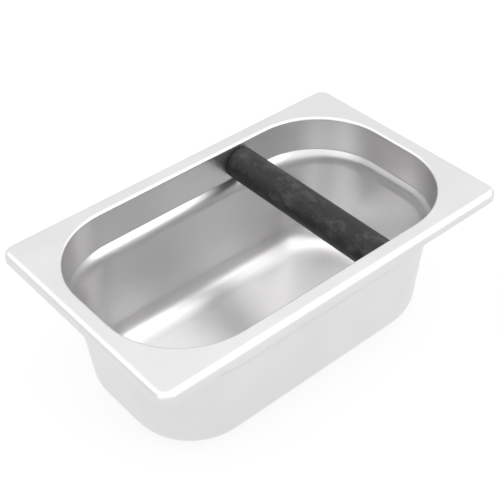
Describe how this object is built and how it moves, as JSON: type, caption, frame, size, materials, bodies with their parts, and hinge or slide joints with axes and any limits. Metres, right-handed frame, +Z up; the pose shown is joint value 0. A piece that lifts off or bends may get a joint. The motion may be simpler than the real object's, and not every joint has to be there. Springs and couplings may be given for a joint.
{
  "type": "espresso knock box",
  "caption": "Deep rectangular steel pan with a turned-down rim and a rubber-sleeved knock bar that twists to lock between its long walls and lifts out.",
  "frame": {"origin": "middle of the pan's underside, on the surface it stands on", "axes": "+X along the pan towards the end nearer the knock bar, +Y across it along the bar towards its fixed foot, +Z up"},
  "size_m": [0.265, 0.162, 0.1],
  "materials": {
    "pan_steel": "satin, brighter on the rim's rolled edge",
    "tube_steel": "drawn tube, satin",
    "sleeve_rubber": "matt, lightly scuffed",
    "pad_rubber": "matt",
    "bush_nylon": "natural nylon",
    "hardware_steel": "turned stainless",
    "clip_steel": "spring steel"
  },
  "bodies": {
    "pan_body": {"pan": "pan_steel"},
    "fixed_end": {"fixed_foot": "hardware_steel", "fixed_foot_pad": "pad_rubber", "fixed_foot_clip": "clip_steel"},
    "bar_body": {"bar_tube": "tube_steel", "bar_sleeve": "sleeve_rubber", "end_bush": "bush_nylon", "threaded_insert": "hardware_steel"},
    "adjuster_end": {"adjuster_stud": "hardware_steel", "adjuster_pad": "pad_rubber", "stop_clip": "clip_steel"}
  },
  "joints": [
    {"name": "bar_lift", "type": "slide", "parent": "pan_body", "child": "fixed_end", "axis": [0, 0, 1], "range_m": [0, 0.06]},
    {"name": "bar_twist", "type": "hinge", "parent": "fixed_end", "child": "bar_body", "pos_m": [0.043, 0, 0.0855], "axis": [0, -1, 0], "range_deg": [0, 720]},
    {"name": "foot_draw", "type": "slide", "parent": "fixed_end", "child": "adjuster_end", "axis": [0, 1, 0], "range_m": [0, 0.003]}
  ],
  "couplings": [
    {"joint": "foot_draw", "follows": "bar_twist", "m_per_rad": 0.0002387}
  ]
}
